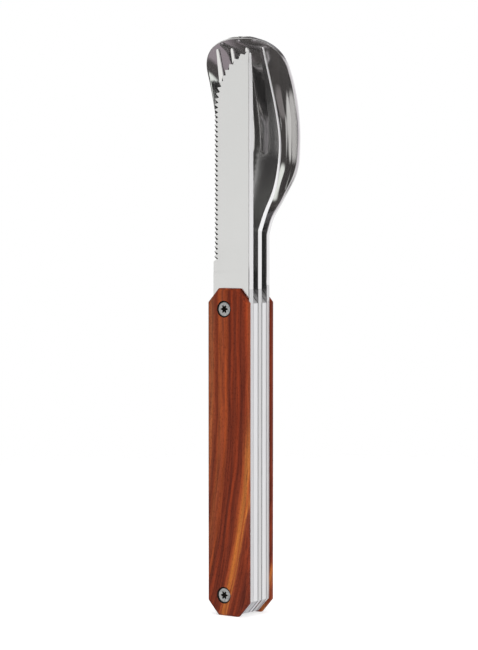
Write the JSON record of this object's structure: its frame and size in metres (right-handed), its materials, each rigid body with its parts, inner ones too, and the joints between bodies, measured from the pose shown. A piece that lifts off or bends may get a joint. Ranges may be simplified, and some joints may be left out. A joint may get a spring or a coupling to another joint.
{
  "type": "picnic cutlery set",
  "caption": "Picnic cutlery whose knife, fork and spoon stack into one flat handle with wooden scales, held together by magnets and lifted apart to use.",
  "frame": {"origin": "on the plane of the handle's flat end, in the middle of the set's width and of its depth from the knife-side face to the back of the bowl", "axes": "+X across the width of the handle, away from the knife's cutting edge; +Y from the knife through the fork to the spoon; +Z along the set from the handle's end to the tips"},
  "size_m": [0.037, 0.0274, 0.2038],
  "materials": {
    "wood": "satin oiled",
    "aluminium": "satin",
    "blade_steel": "fine satin",
    "polished_steel": "mirror polished",
    "screw_steel": "satin",
    "magnet": "nickel plated",
    "pin_steel": "ground"
  },
  "bodies": {
    "fork": {"fork": "polished_steel"},
    "knife": {"knife_blade": "blade_steel", "knife_scale": "wood", "knife_spacer": "aluminium", "knife_screw_lower": "screw_steel", "knife_screw_upper": "screw_steel", "knife_magnet_lower": "magnet", "knife_magnet_middle": "magnet", "knife_magnet_upper": "magnet", "knife_pin_lower": "pin_steel", "knife_pin_upper": "pin_steel"},
    "spoon": {"spoon": "polished_steel", "spoon_scale": "wood", "spoon_spacer": "aluminium", "spoon_screw_lower": "screw_steel", "spoon_screw_upper": "screw_steel", "spoon_magnet_lower": "magnet", "spoon_magnet_middle": "magnet", "spoon_magnet_upper": "magnet", "spoon_pin_lower": "pin_steel", "spoon_pin_upper": "pin_steel"}
  },
  "joints": [
    {"name": "knife_pull_off", "type": "slide", "parent": "fork", "child": "knife", "axis": [0, -1, 0], "range_m": [0, 0.04]},
    {"name": "spoon_pull_off", "type": "slide", "parent": "fork", "child": "spoon", "axis": [0, 1, 0], "range_m": [0, 0.04]}
  ]
}
